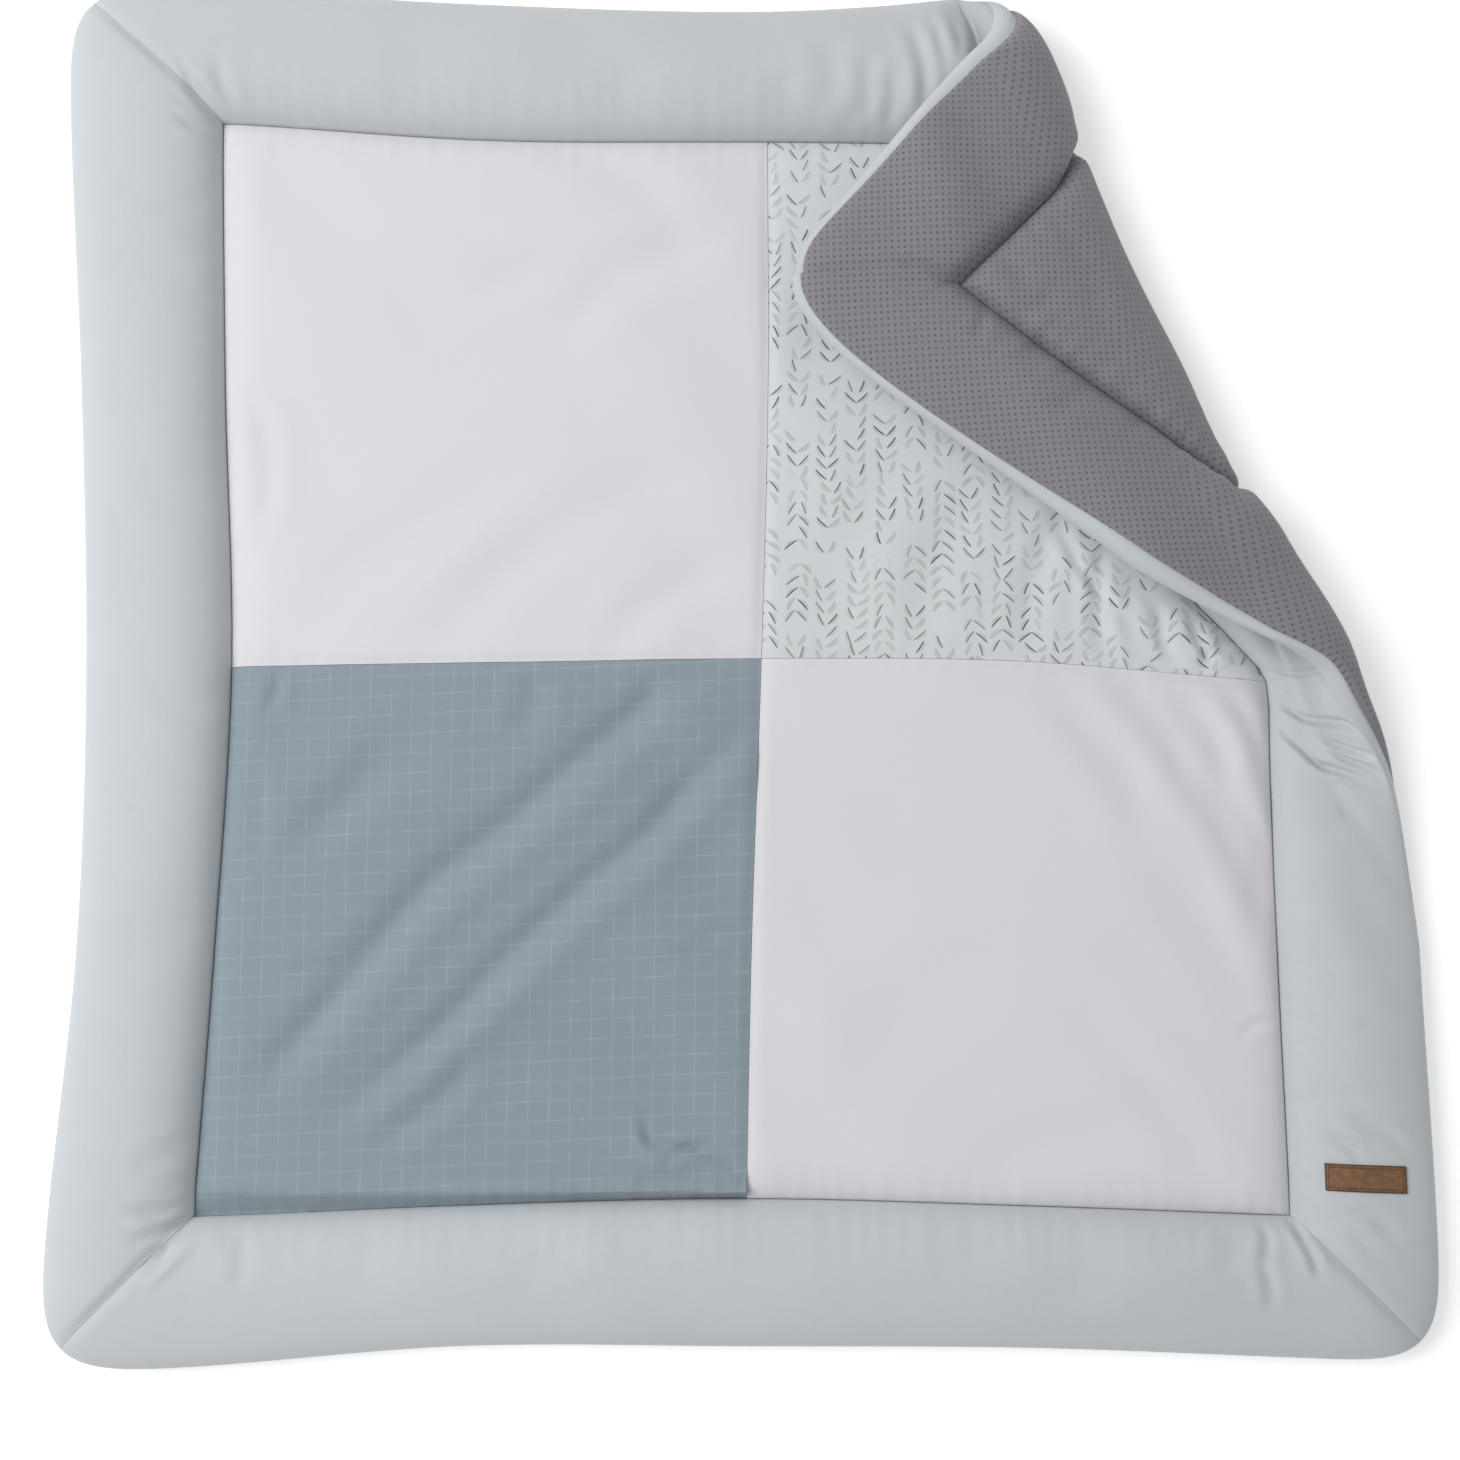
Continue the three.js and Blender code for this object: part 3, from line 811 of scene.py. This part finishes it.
# %% Border and white cottons
def plain(name, ground, contrast):
    look, u, v, base, relief, weave_shade_and_tone = cotton(name, ground, contrast)
    look.finish(base, relief, 0.08, 0.86)


plain("border_cloth_look", shade(193, 198, 202), 0.03)
plain("white_cloth_look", shade(216, 215, 220), 0.015)

# %% [markdown]
# ## The leaf print
#
# Sprigs of short strokes stand in columns, each a stack of chevrons that points up or down. It
# is a repeat, so it is worked out by folding the cloth's coordinates: first into columns, then
# into sprigs, then into single pairs of strokes. Random numbers for each column and sprig
# shift it, turn it round and fade it, as the hand-cut original of such a print would.

# %% Leaf print on the pale cloth
COLUMN_PITCH = 21.6
SPRIG_LENGTH = 53.4
STROKE_PITCH = 8.9
STROKE_SLOPE = math.radians(54)
STROKE_REACH = 6.4
STROKE_HALF_WIDTH = 0.8
STROKE_INNER = 0.5
ECHO_OFFSET, ECHO_HALF_WIDTH = 1.8, 0.75


def leaf_strokes(look, u, v):
    """Share of ink: a lens-shaped stroke on both sides of each column's stem."""
    column = (u / COLUMN_PITCH).floor()
    luck = look.chance(column, column * 3 + 7)
    shifted = v + luck * SPRIG_LENGTH * 3
    sprig = (shifted / SPRIG_LENGTH).floor()
    in_sprig = (shifted / SPRIG_LENGTH).fract() * SPRIG_LENGTH
    lean = look.chance(column + 9, sprig * 5 + 1) - 0.5
    side = (u / COLUMN_PITCH).fract() * COLUMN_PITCH - COLUMN_PITCH / 2
    side = side + (in_sprig - SPRIG_LENGTH / 2) * lean * 0.2 + lean * 3.0
    up = look.chance(column + 2, sprig * 3 + 8).math("GREATER_THAN", 0.5) * 2 - 1
    pair = (in_sprig / STROKE_PITCH).floor()
    level = ((in_sprig / STROKE_PITCH).fract() - 0.5) * STROKE_PITCH
    sides = side.ease(-0.01, 0.01)
    pluck = look.chance(column * 2 + sides + 31, sprig * 7 + pair)
    cos, sin = math.cos(STROKE_SLOPE), math.sin(STROKE_SLOPE)
    out = side.abs() - (STROKE_INNER + STROKE_REACH * cos + pluck * 0.6)
    angle = look.chance(column * 2 + sides + 51, sprig * 5 + pair) - 0.5
    rise = level * up + (pluck - 0.5) * 0.9
    lengthwise = out * cos - rise * sin
    bowed = out * sin + rise * cos + lengthwise * lengthwise * 0.012
    bowed = bowed + lengthwise * angle * 0.65
    taper = 1 - ((lengthwise / STROKE_REACH) ** 2) ** 2
    dark = look.chance(column * 2 + sides + 77, sprig * 11 + pair).ease(0.5, 0.6)
    stroke = (taper * (STROKE_HALF_WIDTH + (1 - dark) * 0.3) - bowed.abs()).ease(-0.1, 0.35)
    short = 1 - (lengthwise / (STROKE_REACH * 0.85)) ** 2
    echo = (short * ECHO_HALF_WIDTH - (bowed - ECHO_OFFSET).abs()).ease(-0.2, 0.6)
    longest = look.chance(column + 5, sprig + 17) * 2.8 + 3.4
    inside = (longest - pair).ease(0.0, 0.2)
    kept = look.chance(column * 2 + sides + 13, sprig * 9 + pair).ease(0.08, 0.1)
    inked = (stroke * (dark * 0.55 + 0.28)).math("MAXIMUM", echo * 0.26)
    return inked * (pluck * 0.4 + 0.75) * inside * kept


look, u, v, base, relief, weave_shade_and_tone = cotton("leaf_cloth_look", shade(213, 216, 218), 0.018)
ink = leaf_strokes(look, u, v)
grain = look.noise(look.vector(u, v), 1.3, 3.0, 0.6)
ink = ink * (grain * 0.7 + 0.65)
print_colour = look.mix(ink.math("MINIMUM", 1.0), base, shade(84, 98, 98))
look.finish(print_colour, relief, 0.12, 0.86)

# %% [markdown]
# ## The window-pane cloth
#
# The blue patch has pale lines both ways, woven in with a lighter thread of uneven thickness.
# A line is the place where the folded coordinate comes near zero. Noise that is stretched
# along each thread makes it come and go.

# %% Blue cloth with pale panes
PANE_WIDTH, PANE_HEIGHT = 15.0, 14.3
PANE_LINE = 0.55


def pane_lines(look, across, along, pitch, seed):
    """Soft lines at each pitch, wobbling a little and broken by streaky noise."""
    wobble = look.noise(look.vector(along / 60, (across / pitch).floor() * 3 + seed), 1.0) * 2.2
    folded = ((across + wobble) / pitch).fract() * pitch - pitch / 2
    number = ((across + wobble) / pitch).floor()
    streak = look.noise(look.vector(along / 26, number * 5 + seed * 2), 1.0, 3.0, 0.7)
    bright = look.noise(look.vector(along / 9, number * 5 + seed * 4), 1.0, 2.0, 0.6)
    line = (PANE_LINE - folded.abs()).ease(-0.35, 0.45)
    return line * (streak.ease(0.36, 0.66) * 0.5 + 0.12) + line * bright.ease(0.6, 0.75) * 0.4


look, u, v, base, relief, weave_shade_and_tone = cotton("blue_cloth_look", shade(140, 154, 163), 0.03)
lines = pane_lines(look, u, v, PANE_WIDTH, 0) + pane_lines(look, v, u, PANE_HEIGHT, 41)
strays = look.noise(look.vector(u * 0.05, v * 2.2), 1.0, 2.0).ease(0.66, 0.8) * 0.35
strays = strays + look.noise(look.vector(u * 2.2, v * 0.05), 1.0, 2.0).ease(0.68, 0.8) * 0.3
share = (lines + strays).math("MINIMUM", 1.0) * 0.7
look.finish(look.mix(share, base, shade(170, 186, 193)), relief + share * 1.2, 0.14, 0.85)

# %% [markdown]
# ## The dotted backing
#
# The back is a mauve-grey cotton with small darker dots in a diagonal grid. Two folded
# coordinates give the distance to the nearest point of a square grid, once as it is and once
# shifted by half a cell, and the nearer of the two makes the dot.

# %% Backing cloth with dots
DOT_CELL = 6.6
DOT_RADIUS = 1.0


def dot_grid(look, u, v, shift):
    """Distance to the nearest point of a square grid that is shifted by a share of a cell."""
    x = ((u / DOT_CELL + shift).fract() - 0.5) * DOT_CELL
    y = ((v / DOT_CELL + shift).fract() - 0.5) * DOT_CELL
    return (x * x + y * y) ** 0.5


look, u, v, base, relief, weave_shade_and_tone = cotton("backing_cloth_look", shade(133, 130, 136), 0.035)
nearest = dot_grid(look, u, v, 0.0).math("MINIMUM", dot_grid(look, u, v, 0.5))
dots = (DOT_RADIUS + weave_shade_and_tone * 0.25 - nearest).ease(-0.3, 0.4)
look.finish(look.mix(dots * 0.8, base, shade(88, 84, 94)), relief, 0.14, 0.85)

# %% [markdown]
# ## The label
#
# The label on the border is a small tab of brown leather. Leather is made of cells of uneven
# size, so a Voronoi texture gives the grain, and its cut edge is burnt darker.

# %% Leather
look = Look("label_leather_look")
u, v = look.cloth_place()
place = look.vector(u, v)
cells = look.signal("ShaderNodeTexVoronoi", {"feature": "SMOOTH_F1"},
                    {"Vector": place, "Scale": 1.1, "Smoothness": 0.6})
mottle = look.noise(place, 6.0, 4.0, 0.6)
LABEL_MIDDLE, LABEL_HALF_HEIGHT = -361, 10
LABEL_INNER, LABEL_OUTER = 22, 83
BURNT_WIDTH, STITCH_INSET, STITCH_PITCH = 1.9, 2.6, 3.2
half_length = (LABEL_OUTER - LABEL_INNER) / 2
from_end = half_length - (v - (LABEL_INNER + LABEL_OUTER) / 2).abs()
from_side = LABEL_HALF_HEIGHT - (u - LABEL_MIDDLE).abs()
burnt = 1 - from_end.math("MINIMUM", from_side).ease(0.0, BURNT_WIDTH)
stitch_line = 1 - (from_end.math("MINIMUM", from_side) - STITCH_INSET).abs().ease(0.15, 0.5)
stitches = stitch_line * ((u + v) / STITCH_PITCH).fract().ease(0.3, 0.45)
brown = look.mix(mottle.ease(0.3, 0.75), shade(112, 82, 58), shade(136, 102, 74))
brown = look.mix(burnt * 0.8, brown.socket, shade(72, 50, 36))
brown = look.mix(stitches * 0.7, brown.socket, shade(92, 66, 46))
look.finish(brown, cells - burnt * 2 - stitches * 3, 0.25, 0.5, sheen=0.0)
print("materials", [material.name for material in bpy.data.materials])


# %% [markdown]
# ## The four quarters
#
# The middle of the mat is four square patches sewn to each other and quilted on the wadding.

# %% Patches
GRID_STEP = 2.8
HALF_GAP = SEWING_GAP / 2
BACK_CLEARANCE = BACKING_THICKNESS + SEWING_GAP


def quarter(name, slot, side, end, skew=0.0):
    """A patch between the mat's middle and the panel's side and end, each +1 or -1. Its cloth
    may be cut a little skew to the thread."""
    count = round(HALF_PANEL / GRID_STEP) + 1
    places = crowded(HALF_GAP, HALF_PANEL - HALF_GAP, count, 1.25)
    s, t = np.meshgrid(places * side, places * end, indexing="ij")
    upper = lay(s, t, panel_face(name, s, t))
    lower = lay(s, t, back_level(s, t) + BACK_CLEARANCE)
    cloth = np.stack(lay_out(s, t), -1)
    cloth[..., 1] -= skew * (cloth[..., 0] + HALF_PANEL / 2)
    piece = shell(name + "_patch", upper, lower, cloth, slot, [name])
    return piece


quarter("quarter_tl", "white_cloth", -1, 1)
quarter("quarter_tr", "leaf_cloth", 1, 1)
quarter("quarter_bl", "blue_cloth", -1, -1, skew=0.06)
quarter("quarter_br", "white_cloth", 1, -1)

# %% [markdown]
# ## The four border strips
#
# The strips are cut on the straight grain and mitred, so each has its own UV map: u runs along
# the strip and v across it, round the side.

# %% Border strips
STATIONS = 340
FOLD_STATIONS = 470
SECTION_POINTS = (27, 24, 12)


def stations(count, fold_at_share):
    """Places along a strip from -1 to 1 that crowd towards its mitres, and round the place where
    the fold crosses it. They are even steps of the summed-up density."""
    x = np.linspace(-1, 1, 4001)
    density = 1 + 2.0 * np.exp(-(((1 - np.abs(x)) / 0.1) ** 2))
    if fold_at_share is not None:
        density += 1.8 * np.exp(-(((x - fold_at_share) / 0.22) ** 4))
    total = np.concatenate([[0], np.cumsum(density[1:] + density[:-1])])
    return np.interp(np.linspace(0, total[-1], count), total, x)


def section_rings(roll_out, inset):
    """Where the section's points are across the border: the inner rise, the outer fall, and
    the turn back in to the outer seam. Also how far round the turn each is, 0 to 1."""
    rise, fall, turn_back = (np.linspace(0, 1, n) for n in SECTION_POINTS)
    first = 0.5 * (1 - np.cos(rise * math.pi / 2))[:, None] + 0 * roll_out
    second = 0.5 + np.sin(fall[1:] * math.pi / 2)[:, None] * (0.5 + roll_out)
    third = (1 - inset) + np.cos(turn_back[1:] * math.pi / 2)[:, None] * (roll_out + inset)
    under = np.zeros(len(first) + len(second) + len(third))
    under[len(first) + len(second):] = np.sin(turn_back[1:] * math.pi / 2)
    return np.concatenate([first, second, third]), under[:, None]


def strip(name, slot, horizontal, side, fold_at_share=None):
    """A border strip, horizontal or upright, on the plus or minus side of the pattern."""
    limit = 1 - HALF_GAP / HALF_PANEL
    count = STATIONS if fold_at_share is None else FOLD_STATIONS
    along = limit * stations(count, fold_at_share)

    def on_pattern(across):
        out = HALF_PANEL + HALF_GAP + across * BORDER_WIDTH
        pair = (out * along, np.broadcast_to(out * side, out.shape))
        return pair if horizontal else pair[::-1]

    edge = on_pattern(np.ones((1, count)))
    roll_out, inset, seam_level = edge_shape(*edge)
    across, under = section_rings(roll_out, inset)
    s, t = on_pattern(across)
    s_seam, t_seam = on_pattern(1 - inset)
    seam = back_level(s_seam, t_seam) + BACK_CLEARANCE + SEWING_GAP
    side_level = seam_level + SIDE_RISE
    level = np.where(under > 0, side_level + (seam - side_level) * under, border_face(name, s, t))
    upper = lay(s, t, level)
    s_low, t_low = on_pattern(across[-1:] * np.linspace(0, 1, len(across))[:, None])
    lower = lay(s_low, t_low, back_level(s_low, t_low) + BACK_CLEARANCE)
    steps = np.linalg.norm(np.diff(upper, axis=0), axis=-1)
    width = np.concatenate([np.zeros((1, count)), np.cumsum(steps, 0)])
    length = (HALF_PANEL + across * BORDER_WIDTH) * along
    piece = shell(name + "_strip", upper, lower, np.stack([length, width], -1), slot, [name])
    return piece


strip("border_top", "border_cloth", True, 1, 0.28)
strip("border_bottom", "border_cloth", True, -1)
strip("border_right", "border_cloth", False, 1, -0.1)
strip("border_left", "border_cloth", False, -1)

# %% [markdown]
# ## The backing
#
# The backing is one sheet under all of the mat, sewn to the border strips all round. It only
# shows on the folded corner, so its grid is fine there and coarse where it lies on the floor.

# %% Backing sheet
FINE_STEP, COARSE_STEP = 3.3, 14
FINE_FROM = {"s": 100, "t": -130}
# Closer grid lines, as distances from the rim on the floor, the free end and the seam
RIM_POINTS = np.array([0, 2, 6, 12, 20])
END_POINTS = np.array([7, 5, 3.2, 1.8, 0.8, 0])
SEAM_POINTS = np.array([0, 0.6, 1.4, 2.4, 3.6, 5, 6.5])


def backing():
    def places(fine_from):
        coarse = np.arange(-HALF_SIDE + 30, fine_from, COARSE_STEP)
        rim = RIM_POINTS - HALF_SIDE
        fine = np.arange(fine_from, HALF_SIDE - 8, FINE_STEP)
        end = HALF_SIDE - END_POINTS
        fine = fine[np.abs(fine - HALF_PANEL) > SEAM_POINTS[-1] + 1]
        seam = HALF_PANEL + np.concatenate([-SEAM_POINTS[:0:-1], SEAM_POINTS])
        return np.sort(np.concatenate([rim, coarse, fine, seam, end]))

    u, v = np.meshgrid(places(FINE_FROM["s"]), places(FINE_FROM["t"]), indexing="ij")
    outer = np.maximum(np.abs(u), np.abs(v))
    inset = edge_shape(u, v)[1]
    drawn = outer - np.maximum(outer - HALF_PANEL, 0) * inset
    s, t = u * drawn / np.maximum(outer, 1), v * drawn / np.maximum(outer, 1)
    level = back_level(s, t)
    upper = lay(s, t, level + BACKING_THICKNESS)
    lower = lay(s, t, level)
    cloth = np.stack(lay_out(s, t), -1)
    piece = shell("backing_sheet", upper, lower, cloth, "backing_cloth", ["backing"])
    return piece


backing()

# %% [markdown]
# ## The label on the border
#
# The tab lies on the crest of the right border strip and follows its curve.

# %% Label
LABEL_THICKNESS = 1.3
LABEL_STEP = 0.8


def label():
    lengths = HALF_PANEL + np.arange(LABEL_INNER, LABEL_OUTER + 0.1, LABEL_STEP)
    heights = LABEL_MIDDLE + np.arange(-LABEL_HALF_HEIGHT, LABEL_HALF_HEIGHT + 0.1, LABEL_STEP)
    s, t = np.meshgrid(lengths, heights, indexing="ij")
    face = border_face("border_right", s, t)
    upper = lay(s, t, face + SEWING_GAP + LABEL_THICKNESS)
    lower = lay(s, t, face + SEWING_GAP)
    pattern = np.stack([t, s - HALF_PANEL], -1)
    piece = shell("label_tab", upper, lower, pattern, "label_leather", ["label"])
    bevel = piece.modifiers.new("soft edge", "BEVEL")
    bevel.width, bevel.segments = 0.4 * MM, 2
    bevel.limit_method, bevel.angle_limit = "ANGLE", math.radians(50)
    return piece


label()

# %% [markdown]
# ## Floor, light and camera
#
# The photo is a catalogue picture: a white ground, and light from everywhere with more of it
# from the left. A big soft area light and a pale world give that, and the floor glows a little,
# so that it stays white under the mat's shadow. The camera is where the photo's was, 5 degrees
# off straight down, worked out from the mat's outline.

# %% Floor
def floor():
    mesh = bpy.data.meshes.new("floor")
    reach = 4.0
    corners = [(-reach, -reach, 0), (reach, -reach, 0), (reach, reach, 0), (-reach, reach, 0)]
    mesh.from_pydata(corners, [], [(0, 1, 2, 3)])
    look = Look("floor_look")
    shader = look.node("ShaderNodeBsdfPrincipled", inputs={
        "Base Color": shade(250, 250, 250), "Roughness": 0.9, "Specular IOR Level": 0.1,
        "Emission Color": (1, 1, 1, 1), "Emission Strength": 0.32})
    output = look.node("ShaderNodeOutputMaterial")
    look.tree.links.new(shader.outputs[0], output.inputs[0])
    mesh.materials.append(look.material)
    piece = bpy.data.objects.new("floor", mesh)
    bpy.context.collection.objects.link(piece)


floor()


# %% Lights
def area_light(name, place, size, power):
    light = bpy.data.lights.new(name, "AREA")
    light.size, light.energy = size, power
    lamp = bpy.data.objects.new(name, light)
    lamp.location = place
    lamp.rotation_euler = (-Vector(place)).to_track_quat("-Z", "Y").to_euler()
    bpy.context.collection.objects.link(lamp)


area_light("window", (-1.85, 0.35, 2.5), size=2.2, power=72)

world = bpy.data.worlds.new("room")
world.use_nodes = True
background = world.node_tree.nodes["Background"].inputs
background["Color"].default_value = (1.0, 1.0, 1.0, 1.0)
background["Strength"].default_value = 0.48
bpy.context.scene.world = world
bpy.context.scene.view_settings.view_transform = "Standard"

# %% Camera
CAMERA_TILT, CAMERA_ROLL = math.radians(5), math.radians(0.6)
CAMERA_DISTANCE = 2.0985
LOOKED_AT = np.array([-0.0155, -0.0472, 0.0])

backwards = np.array([0, -math.sin(CAMERA_TILT), math.cos(CAMERA_TILT)])
right = np.array([1.0, 0, 0])
up = np.cross(backwards, right)
turned_right = math.cos(CAMERA_ROLL) * right + math.sin(CAMERA_ROLL) * up
turned_up = math.cos(CAMERA_ROLL) * up - math.sin(CAMERA_ROLL) * right
camera = bpy.data.cameras.new("camera")
camera.lens, camera.sensor_width = 70, 36
viewer = bpy.data.objects.new("camera", camera)
axes = np.stack([turned_right, turned_up, backwards], 1)
viewer.matrix_world = Matrix.LocRotScale(
    Vector(LOOKED_AT + backwards * CAMERA_DISTANCE), Matrix(axes.tolist()).to_quaternion(), None)
bpy.context.collection.objects.link(viewer)
bpy.context.scene.camera = viewer
